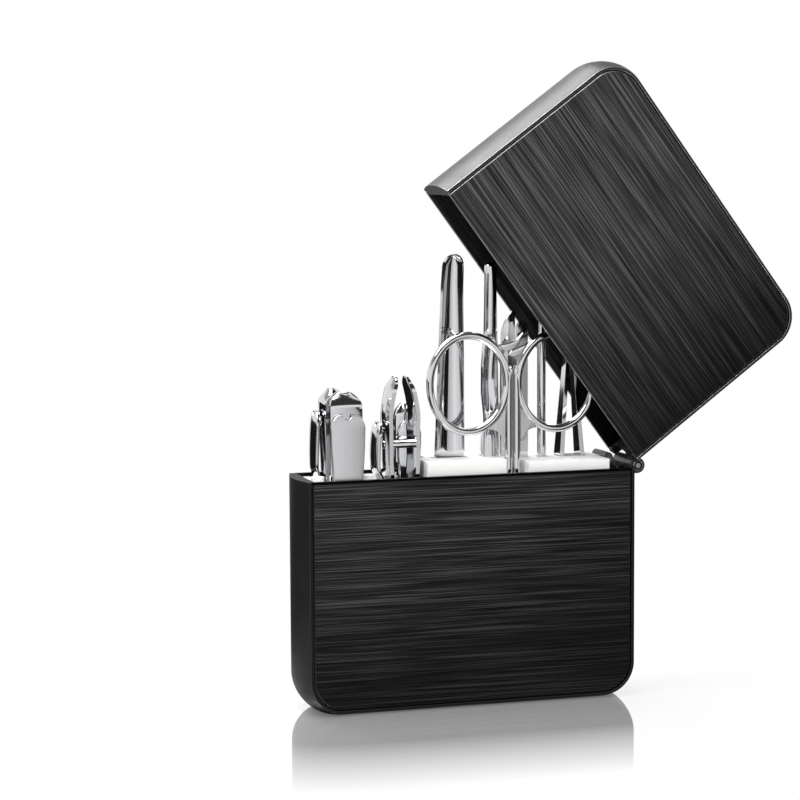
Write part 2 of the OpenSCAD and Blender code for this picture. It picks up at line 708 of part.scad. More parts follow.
// A stamped gutter, hollow towards the front, that tapers up to a rounded scoop.
module cuticle_pusher() {
    len = (body_h + pusher_up - slim_foot) / cos(pusher_lean);
    top_r = pusher_top_w / 2;
    color(steel) translate([pusher_at[0], pusher_at[1], slim_foot]) rotate([0, pusher_lean, 0])
        intersection() {
        linear_extrude(len) intersection() {
            translate([0, (pusher_sag + pusher_steel) / 2 - pusher_section_r]) difference() {
                circle(pusher_section_r, $fn = 128);
                circle(pusher_section_r - pusher_steel, $fn = 128);
            }
            translate([-pusher_w / 2, -pusher_sag]) square([pusher_w, 2 * pusher_sag + pusher_steel]);
        }
        rotate([90, 0, 0]) linear_extrude(10, center = true) union() {
            polygon([[-pusher_w / 2 + 2, 0], [pusher_w / 2 - 2, 0], [pusher_w / 2, 3],
                [pusher_w / 2, len * 0.36], [top_r, len - top_r],
                [-top_r, len - top_r], [-pusher_w / 2, len * 0.36], [-pusher_w / 2, 3]]);
            translate([0, len - top_r]) circle(top_r);
        }
    }
}

// Ringed handle, dished shank, thin neck and a small hooked scoop.
module ear_pick() {
    handle_top = body_h + 9.5;
    neck_r = 0.8;
    hook_r = 1.6;
    groove = 0.2;
    pitch = 1.2;
    dish_top = handle_top + 22;
    neck_top = body_h + pick_up - hook_r - neck_r;
    color(steel) translate([pick_at[0], pick_at[1], 0]) {
        difference() {
            rotate_extrude() polygon(concat([[0, slim_foot], [pick_handle_r - 0.5, slim_foot],
                [pick_handle_r, slim_foot + 1], [pick_handle_r, body_h - 5]],
                [for (k = [0:9]) for (p = [[groove, 0.3], [groove, 0.6], [0, 0.9], [0, 1.2]])
                    [pick_handle_r - p[0], body_h - 5 + k * pitch + p[1]]],
                [[1.2, handle_top], [1.5, handle_top + 3], [1.9, handle_top + 8], [1.9, dish_top - 6],
                [neck_r, dish_top], [neck_r, neck_top], [0, neck_top]]));
            translate([-1.2, -3, handle_top + 3]) cube([2.4, 2.2, dish_top - handle_top - 7]);
        }
        translate([hook_r, 0, neck_top - eps]) rotate([90, 0, 0]) rotate([0, 0, 60])
            rotate_extrude(angle = 120) translate([hook_r, 0]) circle(neck_r - eps, $fn = 32);
    }
}

// A thin flat tool standing on its foot, from a side outline in X and Z.
module flat_tool(at, points) {
    color(steel) translate([at[0], at[1], slim_foot]) rotate([90, 0, 0])
        linear_extrude(flat_steel, center = true) polygon(points);
}

module probe() {
    len = body_h + probe_up - slim_foot;
    w = probe_w / 2;
    flat_tool(probe_at, [[-w + 0.4, 0], [w - 0.4, 0], [w, 1], [w, len * 0.6], [0.15, len],
        [-0.15, len], [-w, len * 0.6], [-w, 1]]);
}

module cuticle_knife() {
    len = body_h + knife_up - slim_foot;
    w = knife_w / 2;
    rise = 7;
    slope_r = 10;
    color(steel) translate([knife_at[0], knife_at[1], slim_foot]) rotate([90, 0, 0])
        linear_extrude(flat_steel, center = true) intersection() {
            polygon([[-w + 1, 0], [w - 1, 0], [w, 1.5], [w, len], [-w, len], [-w, 1.5]]);
            union() {
                translate([w - slope_r, len - rise]) intersection() {
                    circle(slope_r, $fn = 128);
                    translate([0, -eps]) square([slope_r, slope_r]);
                }
                translate([-w, 0]) square([knife_w, len - rise + eps]);
                polygon([[w, len], [-w, len - rise], [w, len - rise]]);
            }
        }
}

module nail_file() {
    len = body_h + file_up - slim_foot;
    w = file_w / 2;
    color(steel) translate([file_at[0], file_at[1], slim_foot]) rotate([90, 0, 0])
        linear_extrude(flat_steel, center = true) union() {
            polygon([[-w + 0.8, 0], [w - 0.8, 0], [w, 1.2], [w, len - w], [-w, len - w], [-w, 1.2]]);
            translate([0, len - w]) circle(w);
        }
}

// A round rod with a spade point.
module nail_cleaner() {
    len = body_h + cleaner_up - slim_foot;
    color(steel) translate([cleaner_at[0], cleaner_at[1], slim_foot]) rotate_extrude()
        polygon([[0, 0], [cleaner_r - 0.3, 0], [cleaner_r, 0.6], [cleaner_r, len - 10], [0.65, len - 7],
            [0.65, len - 2], [0.15, len], [0, len]]);
}

// One arm of the tweezers, bowed outwards and joined to the other at the foot.
module tweezers_arm() {
    len = body_h + tweezers_up - slim_foot;
    bulge = len * 0.6;
    t = tweezers_steel;
    h = tweezers_half;
    intersection() {
        rotate([90, 0, 0]) linear_extrude(tweezers_w, center = true)
            polygon([[0, 0], [-t, 0], [-t, 7], [-h, bulge - 8], [-h, bulge + 2], [-0.9, len - 3],
                [-0.25, len], [-0.15, len], [-0.15, len - 3], [-h + t, bulge + 1],
                [-h + t, bulge - 7], [0, 8]]);
        rotate([90, 0, 90]) linear_extrude(20, center = true)
            polygon([[-tweezers_w / 2 + 0.6, 0], [tweezers_w / 2 - 0.6, 0], [tweezers_w / 2, 2],
                [tweezers_w / 2, bulge], [0.9, len], [-0.9, len], [-tweezers_w / 2, bulge],
                [-tweezers_w / 2, 2]]);
    }
}

module tweezers_left_arm() {
    color(steel) translate([tweezers_at[0], tweezers_at[1], slim_foot]) tweezers_arm();
}
module tweezers_right_arm() {
    color(steel) translate([tweezers_at[0], tweezers_at[1], slim_foot]) mirror([1, 0, 0]) tweezers_arm();
}

// ---- Nodes --------------------------------------------------------------------------------

body_frame();
body_front_plate();
body_back_plate();
lid_frame();
lid_front_plate();
lid_back_plate();
hinge_leaf_body();
hinge_leaf_lid();
hinge_pin();
hinge_spring();
body_leaf_rivets();
lid_leaf_rivets();
tray();
front_clipper_upper_leaf();
front_clipper_lower_leaf();
front_clipper_lever();
front_clipper_pin();
left_clipper_upper_leaf();
left_clipper_lower_leaf();
left_clipper_lever();
left_clipper_pin();
cuticle_clipper_upper_leaf();
cuticle_clipper_lower_leaf();
cuticle_clipper_lever();
cuticle_clipper_pin();
back_clipper_upper_leaf();
back_clipper_lower_leaf();
back_clipper_lever();
back_clipper_pin();
scissors_left_half();
scissors_right_half();
scissors_screw();
cuticle_pusher();
ear_pick();
probe();
cuticle_knife();
nail_file();
nail_cleaner();
tweezers_left_arm();
tweezers_right_arm();
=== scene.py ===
"""A pocket manicure set in a flip-top case, as it stands open: black brushed plates in two bowed
satin frames, a white moulded tray, and polished steel tools standing in it."""

from math import cos, pi, radians, sin, tau
from types import SimpleNamespace

import bmesh
import bpy
from mathutils import Matrix, Vector


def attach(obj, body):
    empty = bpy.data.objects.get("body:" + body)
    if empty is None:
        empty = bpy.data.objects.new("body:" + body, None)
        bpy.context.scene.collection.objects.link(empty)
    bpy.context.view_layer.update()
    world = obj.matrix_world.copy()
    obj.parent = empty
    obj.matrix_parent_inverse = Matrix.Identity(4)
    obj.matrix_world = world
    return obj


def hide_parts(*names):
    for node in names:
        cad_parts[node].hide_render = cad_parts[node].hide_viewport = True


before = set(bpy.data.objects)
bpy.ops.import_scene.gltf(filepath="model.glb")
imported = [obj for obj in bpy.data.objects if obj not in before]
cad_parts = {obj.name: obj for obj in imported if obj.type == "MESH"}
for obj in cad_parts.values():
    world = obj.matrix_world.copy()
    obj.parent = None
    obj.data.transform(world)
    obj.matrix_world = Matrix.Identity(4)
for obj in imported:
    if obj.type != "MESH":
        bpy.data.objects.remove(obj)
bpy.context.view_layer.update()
mm = 0.001

# ---- Camera -----------------------------------------------------------------------------------
# The view of the photograph: a long lens a little over half a metre away, to the left of the
# front and slightly above, with a trace of roll. Right and up are the camera's own axes.

camera_place = Vector((-182.21, -555.44, 129.49)) * mm
camera_right = Vector((0.957297, -0.289046, -0.005922))
camera_up = Vector((0.035291, 0.0965, 0.994707))
camera_lens = 116.3
sensor_width = 36
nearest_seen = 0.01


def new_object(name, data):
    """Makes an object and links it into the scene."""
    made = bpy.data.objects.new(name, data)
    bpy.context.collection.objects.link(made)
    return made


camera_data = bpy.data.cameras.new("camera")
camera_data.sensor_width = sensor_width
camera_data.lens = camera_lens
camera_data.clip_start = nearest_seen
camera = new_object("camera", camera_data)
turn = Matrix((camera_right, camera_up, camera_right.cross(camera_up))).transposed()
camera.matrix_world = Matrix.Translation(camera_place) @ turn.to_4x4()
bpy.context.scene.camera = camera

# ---- Case frames ------------------------------------------------------------------------------
# The two bowed frames are drawn aluminium, bead blasted and dyed black. The lower one is given
# darker tones and less sheen than the lid's: painted shade below and painted light on the lid. A
# fine blasted grain breaks up the sheen, and the cut edges show some metal, with a painted
# highlight on the lid's edges and painted shade on the lower one's.


def add(tree, kind, inputs=None, **settings):
    """Adds a node with its settings, and links or sets the inputs that are given by name."""
    made = tree.nodes.new(kind)
    for name, value in settings.items():
        setattr(made, name, value)
    for name, value in (inputs or {}).items():
        if isinstance(value, bpy.types.NodeSocket):
            tree.links.new(value, made.inputs[name])
        else:
            made.inputs[name].default_value = value
    return made


def start_group(name, inputs, outputs, kind="ShaderNodeTree"):
    """A node group with its sockets, given as pairs of name and kind."""
    group = bpy.data.node_groups.new(name, kind)
    for direction, sockets in (("INPUT", inputs), ("OUTPUT", outputs)):
        for socket, socket_kind in sockets:
            group.interface.new_socket(name=socket, in_out=direction,
                                       socket_type="NodeSocket" + socket_kind)
    given = group.nodes.new("NodeGroupInput").outputs
    return group, given, group.nodes.new("NodeGroupOutput").inputs


def use_group(tree, group, inputs):
    """The outputs of a node group with these inputs."""
    return add(tree, "ShaderNodeGroup", inputs, node_tree=group).outputs


def between(tree, value, low, high, start=0.0, end=1.0):
    """Maps a value from start..end to low..high."""
    return add(tree, "ShaderNodeMapRange", {"Value": value, "From Min": start, "From Max": end,
                                            "To Min": low, "To Max": high}).outputs[0]


def grey(level, blue=1.0):
    """The three levels of a grey, more or less blue."""
    return level, level, level * blue


def mix(tree, share, first, second):
    """Goes from a first colour to a second. Each is a socket or three levels."""
    ends = [end if isinstance(end, bpy.types.NodeSocket) else (*end, 1) for end in (first, second)]
    return add(tree, "ShaderNodeMix", {0: share, 6: ends[0], 7: ends[1]},
               data_type="RGBA").outputs[2]


def start_material(name):
    """A material with its tree, its Principled shader and the piece's own coordinates."""
    material = bpy.data.materials.new(name)
    material.use_nodes = True
    tree = material.node_tree
    place = add(tree, "ShaderNodeTexCoord").outputs["Object"]
    return material, tree, tree.nodes["Principled BSDF"], place


def set_surface(tree, surface, colour, roughness, height, strength, distance):
    """Links a colour and a roughness, and a bump from a height. The distance is in mm."""
    tree.links.new(colour, surface.inputs["Base Color"])
    tree.links.new(roughness, surface.inputs["Roughness"])
    bump = add(tree, "ShaderNodeBump", {"Height": height, "Strength": strength,
                                        "Distance": distance * mm})
    tree.links.new(bump.outputs[0], surface.inputs["Normal"])


def blasted_grain():
    """Fine even grain with a soft mottle: gives a mottle mask and a height."""
    group, given, out = start_group(
        "blasted_grain",
        [("Vector", "Vector"), ("Grain", "Float"), ("Mottle", "Float")],
        [("Mottle", "Float"), ("Height", "Float")],
    )
    for size, detail, result in (("Grain", 2, "Height"), ("Mottle", 3, "Mottle")):
        noise = add(group, "ShaderNodeTexNoise", {"Vector": given["Vector"], "Scale": given[size],
                                                  "Detail": detail})
        group.links.new(noise.outputs[0], out[result])
    return group


grain_group = blasted_grain()


def blasted_black(name, deep, worn, roughness, sheen, grain=9000):
    """Blasted metal, dyed black, between a deep and a worn tone."""
    material, tree, surface, place = start_material(name)
    blasted = use_group(tree, grain_group, {"Vector": place, "Grain": grain, "Mottle": 160})
    set_surface(tree, surface, mix(tree, blasted["Mottle"], deep, worn),
                between(tree, blasted["Mottle"], roughness - 0.05, roughness + 0.07),
                blasted["Height"], strength=0.5, distance=0.012)
    surface.inputs["Specular IOR Level"].default_value = sheen
    return material


def bare_edge_and_painted_light(name, low, high):
    """The cut edges of a frame: bare metal where the black is thin, between a low and a high
    tone. A bright pair of tones paints a highlight on the edges, a dark pair paints shade.
    """
    material, tree, surface, place = start_material(name)
    blasted = use_group(tree, grain_group, {"Vector": place, "Grain": 5000, "Mottle": 220})
    tree.links.new(mix(tree, blasted["Mottle"], grey(low, 1.02), grey(high, 1.02)),
                   surface.inputs["Base Color"])
    surface.inputs["Metallic"].default_value = 0.9
    surface.inputs["Roughness"].default_value = 0.3
    return material


def soften(node, body, material, width, edge=None):
    """A copy of a CAD node with merged faces, small rounded edges and smooth shading. The
    edges' width is in mm, and they may have a material of their own."""
    merge_within, flat_within, sharp_from = 0.002 * mm, radians(0.5), radians(38)
    form = bmesh.new()
    form.from_mesh(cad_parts[node].data)
    bmesh.ops.remove_doubles(form, verts=form.verts, dist=merge_within)
    bmesh.ops.dissolve_limit(form, angle_limit=flat_within, verts=form.verts, edges=form.edges)
    mesh = bpy.data.meshes.new(node)
    form.to_mesh(mesh)
    form.free()
    mesh.materials.clear()
    mesh.materials.append(material)
    if edge:
        mesh.materials.append(edge)
    mesh.shade_smooth()
    mesh.set_sharp_from_angle(angle=sharp_from)
    holder = new_object(node, mesh)
    if width:
        rounding = holder.modifiers.new("rounding", "BEVEL")
        rounding.width = width * mm
        rounding.segments = 2
        rounding.limit_method = "ANGLE"
        rounding.angle_limit = sharp_from
        rounding.harden_normals = True
        rounding.miter_outer = "MITER_ARC"
        rounding.material = 1 if edge else 0
    shown = holder.evaluated_get(bpy.context.evaluated_depsgraph_get())
    finished = bpy.data.meshes.new_from_object(shown)
    bpy.data.objects.remove(holder)
    piece = new_object(node + "_finished", finished)
    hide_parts(node)
    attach(piece, body)
    return piece


# Lit and shaded copies of one finish: the lower frame's darker tones and lower sheen are painted
# shade, the lid's lighter tones and higher sheen painted light.
body_frame_shaded = blasted_black("body_frame_painted_shade_black", (0.003, 0.003, 0.0033), (0.007, 0.007, 0.0074),
                           roughness=0.43, sheen=0.13)
lid_frame_lit = blasted_black("frame_black", (0.006, 0.006, 0.0065), (0.015, 0.015, 0.0158),
                          roughness=0.43, sheen=0.4)
# The edges' tones: bare metal, set bright on the lid's frame as a painted highlight and dark on the
# lower frame as painted shade.
soften("body_frame", "case", body_frame_shaded, 0.1,
       edge=bare_edge_and_painted_light("body_rim_painted_shade", 0.06, 0.13))
soften("lid_frame", "lid", lid_frame_lit, 0.12,
       edge=bare_edge_and_painted_light("lid_rim_painted_highlight", 0.4, 0.62))

# ---- Face plates ------------------------------------------------------------------------------
# Four thin aluminium plates, brushed along the width of the case and anodised black, sit in
# rebates of the frames. The bevel round each is cut after the brushing and shows bare metal, set
# brighter on the lid's plates as a painted highlight. Painted shade darkens the body's plates
# towards the bottom and the lid's towards the hinge, and the lid's are given a lighter shine than
# the body's as painted light.

lid_turn = radians(53.6)
hinge_axis = (40.5 * mm, 0, 53.1 * mm)
parting_height = 0.0534
parting_reach = 0.001


def brushed_lines():
    """Streaks along X in three sizes: gives a mask of bright lines, a tone and a height."""
    group, given, out = start_group(
        "brushed_lines",
        [("Vector", "Vector"), ("Seed", "Float")],
        [("Streaks", "Float"), ("Tone", "Float"), ("Height", "Float")],
    )

    def streaks(length, width, detail):
        place = add(group, "ShaderNodeVectorMath",
                    {0: given["Vector"], 1: (length * mm, width * mm, width * mm)},
                    operation="DIVIDE")
        return add(group, "ShaderNodeTexNoise",
                   {"Vector": place.outputs[0], "W": given["Seed"], "Scale": 1, "Detail": detail},
                   noise_dimensions="4D").outputs[0]

    fine = streaks(length=16, width=0.1, detail=0)
    lines = streaks(length=30, width=0.19, detail=0)
    broad = streaks(length=34, width=2.4, detail=2)
    bright = add(group, "ShaderNodeMath", {0: between(group, lines, 0, 1, 0.58, 0.67),
                                           1: between(group, fine, 0, 0.6, 0.54, 0.68)},
                 operation="MAXIMUM")
    tone = add(group, "ShaderNodeMath", {0: broad, 1: 0.22,
                                         2: between(group, fine, 0, 0.2, 0.25, 0.75)},
               operation="MULTIPLY_ADD")
    height = add(group, "ShaderNodeMath", {0: fine, 1: lines}, operation="ADD")
    for made, name in ((bright, "Streaks"), (tone, "Tone"), (height, "Height")):
        group.links.new(made.outputs[0], out[name])
    return group


lines_group = brushed_lines()


def brushed_black(name, seed, turned, shine, axis, start, end, depth, rim):
    """The plates' finish. Along an axis, from start to end in mm, the colour of the streaks is
    darkened to a depth, as painted shade. It is dark at the parting of the case. The bevel takes
    the rim tone, bare cut metal, which paints a highlight where it is set bright. The lid's plates
    are turned with the lid, and read their pattern where they are when it is shut."""
    deep = 0.002
    material, tree, surface, place = start_material(name)
    if turned:
        place = add(tree, "ShaderNodeMapping", {"Vector": place, "Location": hinge_axis,
                                                "Rotation": (0, lid_turn, 0)},
                    vector_type="TEXTURE").outputs[0]
    lines = use_group(tree, lines_group, {"Vector": place, "Seed": seed})
    along = add(tree, "ShaderNodeSeparateXYZ", {"Vector": place})
    # Painted shade: the colour darkens from start to end along the axis.
    painted_shade_grade = between(tree, along.outputs[axis], 1, depth, start * mm, end * mm)
    parting = add(tree, "ShaderNodeMath",
                  {0: along.outputs["Z"], 1: parting_height, 2: parting_reach},
                  operation="COMPARE").outputs[0]
    shade_and_seam = add(tree, "ShaderNodeMath", {0: painted_shade_grade, 1: parting}, operation="SUBTRACT", use_clamp=True)
    bare = add(tree, "ShaderNodeMath", {0: lines["Streaks"], 1: 0.8, 2: lines["Tone"]},
               operation="MULTIPLY_ADD")
    tone = add(tree, "ShaderNodeMath", {0: bare.outputs[0], 1: shade_and_seam.outputs[0]},
               operation="MULTIPLY")
    colour = mix(tree, tone.outputs[0], grey(deep, 1.04), grey(shine, 1.02))
    normal = add(tree, "ShaderNodeTexCoord").outputs["Normal"]
    facing = add(tree, "ShaderNodeSeparateXYZ", {"Vector": normal})
    flat = add(tree, "ShaderNodeMath", {0: facing.outputs["Y"]}, operation="ABSOLUTE")
    bevel = between(tree, flat.outputs[0], 1, 0, 0.72, 0.95)
    cut_edge = add(tree, "ShaderNodeMath", {0: bevel, 1: parting}, operation="SUBTRACT",
                   use_clamp=True)
    set_surface(tree, surface, mix(tree, cut_edge.outputs[0], colour, grey(rim, 1.02)),
                between(tree, lines["Streaks"], 0.42, 0.3),
                lines["Height"], strength=0.7, distance=0.03)
    surface.inputs["Metallic"].default_value = 0.95
    return material


def dress(material, *nodes):
    """Gives a finish to CAD nodes through their slots."""
    for name in nodes:
        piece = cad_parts[name]
        if piece.material_slots:
            for place in piece.material_slots:
                place.material = material
        else:
            piece.data.materials.append(material)


# Lit and shaded copies of one finish: the body's plates get a darker shine and rim and painted
# shade towards the bottom, the lid's a lighter shine, a painted highlight on the bevel and painted
# shade towards the hinge.
dress(brushed_black("body_plate_painted_shade", seed=1.3, turned=False, shine=0.105,
                    axis="Z", start=50, end=4, depth=0.28, rim=0.06),
      "body_front_plate", "body_back_plate")
dress(brushed_black("lid_plate_painted_light", seed=7.1, turned=True, shine=0.175,
                    axis="X", start=-44, end=4, depth=0.1, rim=0.3),
      "lid_front_plate", "lid_back_plate")

# ---- Hinge ------------------------------------------------------------------------------------
# Two black steel leaves riveted inside the end walls, a black leaf spring with a rolled nose that
# holds the lid open, and a bright headed pin through the knuckles, with a dark ring painted on its
# head as the shade of a groove.

shade_ring_radius = 0.8 * mm
shade_ring_reach = 0.22 * mm

hinge_black = blasted_black("hinge_black", (0.01, 0.01, 0.011), (0.03, 0.03, 0.032),
                            roughness=0.3, sheen=0.55, grain=6000)
dress(hinge_black, "hinge_leaf_body", "hinge_leaf_lid", "hinge_spring", "body_leaf_rivets",
      "lid_leaf_rivets")


def polish_marks():
    """Faint wipe marks and a soft waviness left by the buffing wheel."""
    group, given, out = start_group(
        "polish_marks",
        [("Vector", "Vector"), ("Along", "Float"), ("Across", "Float")],
        [("Marks", "Float"), ("Wave", "Float")],
    )
    size = add(group, "ShaderNodeCombineXYZ", {"X": given["Across"], "Y": given["Across"],
                                               "Z": given["Along"]})
    place = add(group, "ShaderNodeVectorMath", {0: given["Vector"], 1: size.outputs[0]},
                operation="MULTIPLY")
    for vector, scale, detail, result in ((place.outputs[0], 1, 3, "Marks"),
                                          (given["Vector"], 220, 1, "Wave")):
        noise = add(group, "ShaderNodeTexNoise", {"Vector": vector, "Scale": scale,
                                                  "Detail": detail})
        group.links.new(noise.outputs[0], out[result])
    return group


marks_group = polish_marks()

pin_steel, pin_tree, pin_surface, pin_place = start_material("pin_steel")
pin_flat = add(pin_tree, "ShaderNodeVectorMath", {0: pin_place, 1: (1, 0, 1)},
               operation="MULTIPLY")
pin_away = add(pin_tree, "ShaderNodeVectorMath", {0: pin_flat.outputs[0], 1: hinge_axis},
               operation="DISTANCE")
# Painted shade: a dark ring on the pin's head, standing in for the shadow in a groove.
pin_shade_ring = add(pin_tree, "ShaderNodeMath",
                 {0: pin_away.outputs["Value"], 1: shade_ring_radius, 2: shade_ring_reach},
                 operation="COMPARE")
pin_marks = use_group(pin_tree, marks_group, {"Vector": pin_place, "Along": 2500,
                                              "Across": 2500})
pin_tree.links.new(mix(pin_tree, pin_shade_ring.outputs[0], (0.5, 0.505, 0.51), (0.02, 0.02, 0.021)),
                   pin_surface.inputs["Base Color"])
pin_tree.links.new(between(pin_tree, pin_marks["Marks"], 0.15, 0.3),
                   pin_surface.inputs["Roughness"])
pin_surface.inputs["Metallic"].default_value = 1
soften("hinge_pin", "case", pin_steel, 0.2)

# ---- Tray -------------------------------------------------------------------------------------
# Injection moulded in milky polypropylene, pushed into the lower half. The mould's fine texture
# shows on the raised blocks, and light goes a little way in at the edges.

tray_milk, tray_tree, tray_surface, tray_place = start_material("tray_milk")
tray_grain = use_group(tray_tree, grain_group, {"Vector": tray_place, "Grain": 4000,
                                                "Mottle": 90})
set_surface(tray_tree, tray_surface,
            mix(tray_tree, tray_grain["Mottle"], (0.76, 0.76, 0.752), (0.84, 0.84, 0.827)),
            between(tray_tree, tray_grain["Mottle"], 0.3, 0.46),
            tray_grain["Height"], strength=0.35, distance=0.02)
tray_surface.inputs["Subsurface Weight"].default_value = 0.25
tray_surface.inputs["Subsurface Scale"].default_value = 2 * mm
tray_surface.inputs["Subsurface Radius"].default_value = (1, 1, 1)
dress(tray_milk, "tray")

# ---- Nail clippers ----------------------------------------------------------------------------
# Stamped and bent steel, nickel and chrome plated: two leaves riveted at the tail, a thumb lever
# and a pin. The front clipper's lever is left satin on its face.


def polished_steel(name, colour, dull, low, high, along, across):
    """Plated steel between a bright and a dull tone, its roughness from low to high."""
    material, tree, surface, place = start_material(name)
    marks = use_group(tree, marks_group, {"Vector": place, "Along": along, "Across": across})
    set_surface(tree, surface, mix(tree, marks["Marks"], dull, colour),
                between(tree, marks["Marks"], low, high, 0.3, 0.8),
                marks["Wave"], strength=0.5, distance=0.03)
    surface.inputs["Metallic"].default_value = 1
    return material


steel_polished = polished_steel("steel_polished", (0.77, 0.775, 0.785), (0.64, 0.645, 0.66),
                                0.05, 0.14, along=60, across=2500)
steel_satin = polished_steel("steel_satin", (0.76, 0.765, 0.775), (0.62, 0.625, 0.635),
                             0.3, 0.42, along=40, across=5000)

# All sizes are in mm. Each clipper's middle is in X and Y, and a sideways one has its lever at
# the left. Its leaf: half its width, and the height where the jaws begin. Its lever: width,
# foot, top, face in front of the middle, and bow. Its pin: half its length, and its height.
clippers = (
    SimpleNamespace(name="front", body="front clipper", middle=(-29, -3.2), sideways=False,
                    leaf=(3.68, 67.2), lever=(8, 14.3, 67.5, -4.3, 0.0), pin=(2.8, 65.1),
                    finish=steel_satin, slot="steel_satin"),
    SimpleNamespace(name="left", body="left clipper", middle=(-29.6, 3.95), sideways=True,
                    leaf=(3.4, 67.2), lever=(6.8, 20.3, 67.5, -4.3, 0.8), pin=(2.8, 65.1),
                    finish=steel_polished, slot="steel_polished"),
    SimpleNamespace(name="cuticle", body="cuticle clipper", middle=(-15.4, -1.9), sideways=True,
                    leaf=(3.5, 63), lever=(7, 16.1, 65.1, -5.4, 1.3), pin=(3.9, 59.9),
                    finish=steel_polished, slot="steel_polished"),
    SimpleNamespace(name="back", body="slim clipper", middle=(-11.9, 5.3), sideways=False,
                    leaf=(2.8, 64.3), lever=(5.6, 18.4, 64.6, -3.3, 0.0), pin=(1.8, 62.2),
                    finish=steel_polished, slot="steel_polished"),
)


def steps(low, high, count):
    """The places between low and high that part it evenly."""
    return [low + (high - low) * k / count for k in range(1, count)]


def share(value, start, end):
    """How far a value is from start to end, from 0 to 1."""
    return min(max((value - start) / (end - start), 0), 1)


def eased(part):
    """A share from 0 to 1 with a gentle start and end."""
    return part * part * (3 - 2 * part)


def oval(centre, radii, start, end, count):
    """Points of an oval arc from start to end in degrees, without the end."""
    angles = [radians(start + (end - start) * k / count) for k in range(count)]
    return [(centre[0] + radii[0] * cos(a), centre[1] + radii[1] * sin(a)) for a in angles]


def bend(p0, p1, p2, p3, count):
    """Points of a cubic curve, without its end."""
    return [tuple((1 - t) ** 3 * a + 3 * (1 - t) ** 2 * t * b + 3 * (1 - t) * t * t * c + t ** 3 * d
                  for a, b, c, d in zip(p0, p1, p2, p3)) for t in (k / count for k in range(count))]


def forged_plate(outline, thickness, rounding, depth=0.0):
    """A flat form in X and Z with rounded edges, its middle at a depth in Y. Sizes in mm."""
    curve = bpy.data.curves.new("outline", "CURVE")
    curve.dimensions = "2D"
    curve.fill_mode = "BOTH"
    curve.bevel_depth = rounding * mm
    curve.bevel_resolution = 4
    curve.extrude = (thickness / 2 - rounding) * mm
    curve.offset = -rounding * mm
    spline = curve.splines.new("POLY")
    spline.points.add(len(outline) - 1)
    spline.use_cyclic_u = True
    for point, (x, z) in zip(spline.points, outline):
        point.co = (x * mm, z * mm, 0, 1)
    holder = bpy.data.objects.new("outline", curve)
    mesh = bpy.data.meshes.new_from_object(holder)
    bpy.data.objects.remove(holder)
    mesh.transform(Matrix.Translation((0, depth * mm, 0)) @ Matrix.Rotation(pi / 2, 4, "X"))
    return mesh


def loft(name, loops, closed=False):
    """A mesh over loops of points in mm, closed to a ring or else capped at both ends."""
    form = bmesh.new()
    rows = [[form.verts.new(Vector(point) * mm) for point in loop] for loop in loops]
    for low, high in zip(rows, rows[1:] + rows[:1] if closed else rows[1:]):
        for k in range(len(low)):
            after = (k + 1) % len(low)
            form.faces.new((low[k], low[after], high[after], high[k]))
    if not closed:
        form.faces.new(rows[0][::-1])
        form.faces.new(rows[-1])
    mesh = bpy.data.meshes.new(name)
    form.to_mesh(mesh)
    form.free()
    return mesh


def turned_form(outline, sides=32):
    """A lathe-turned form about Z from its outline of radius and height. Sizes in mm."""
    return loft("turned", [[(r * cos(tau * k / sides), r * sin(tau * k / sides), z)
                            for k in range(sides)] for r, z in outline])


def shape(mesh, rows, move):
    """Cuts a mesh into rows along two axes, then moves each point. Sizes in mm."""
    cut_within = 1e-7
    form = bmesh.new()
    form.from_mesh(mesh)
    for axis, places in rows:
        for place in places:
            bmesh.ops.bisect_plane(form, geom=form.verts[:] + form.edges[:] + form.faces[:],
                                   dist=cut_within, plane_co=Vector(axis) * place * mm,
                                   plane_no=axis)
    for point in form.verts:
        point.co = Vector(move(*(point.co / mm))) * mm
    form.to_mesh(mesh)
    form.free()


def join_meshes(name, meshes, material, sharp_from=35):
    """One object from several meshes, with clean outward faces and smooth shading on curves."""
    form = bmesh.new()
    for mesh in meshes:
        form.from_mesh(mesh)
        bpy.data.meshes.remove(mesh)
    bmesh.ops.remove_doubles(form, verts=form.verts, dist=0.001 * mm)
    bmesh.ops.recalc_face_normals(form, faces=form.faces)
    joined = bpy.data.meshes.new(name)
    form.to_mesh(joined)
    form.free()
    joined.materials.clear()
    joined.materials.append(material)
    joined.shade_smooth()
    joined.set_sharp_from_angle(angle=radians(sharp_from))
    return new_object(name, joined)


def stand_in_place(piece, clipper, height=0):
    """Turns a part with its clipper and moves it to the clipper's middle."""
    if clipper.sideways:
        piece.data.transform(Matrix.Rotation(-pi / 2, 4, "Z"))
    piece.data.transform(Matrix.Translation(Vector((*clipper.middle, height)) * mm))


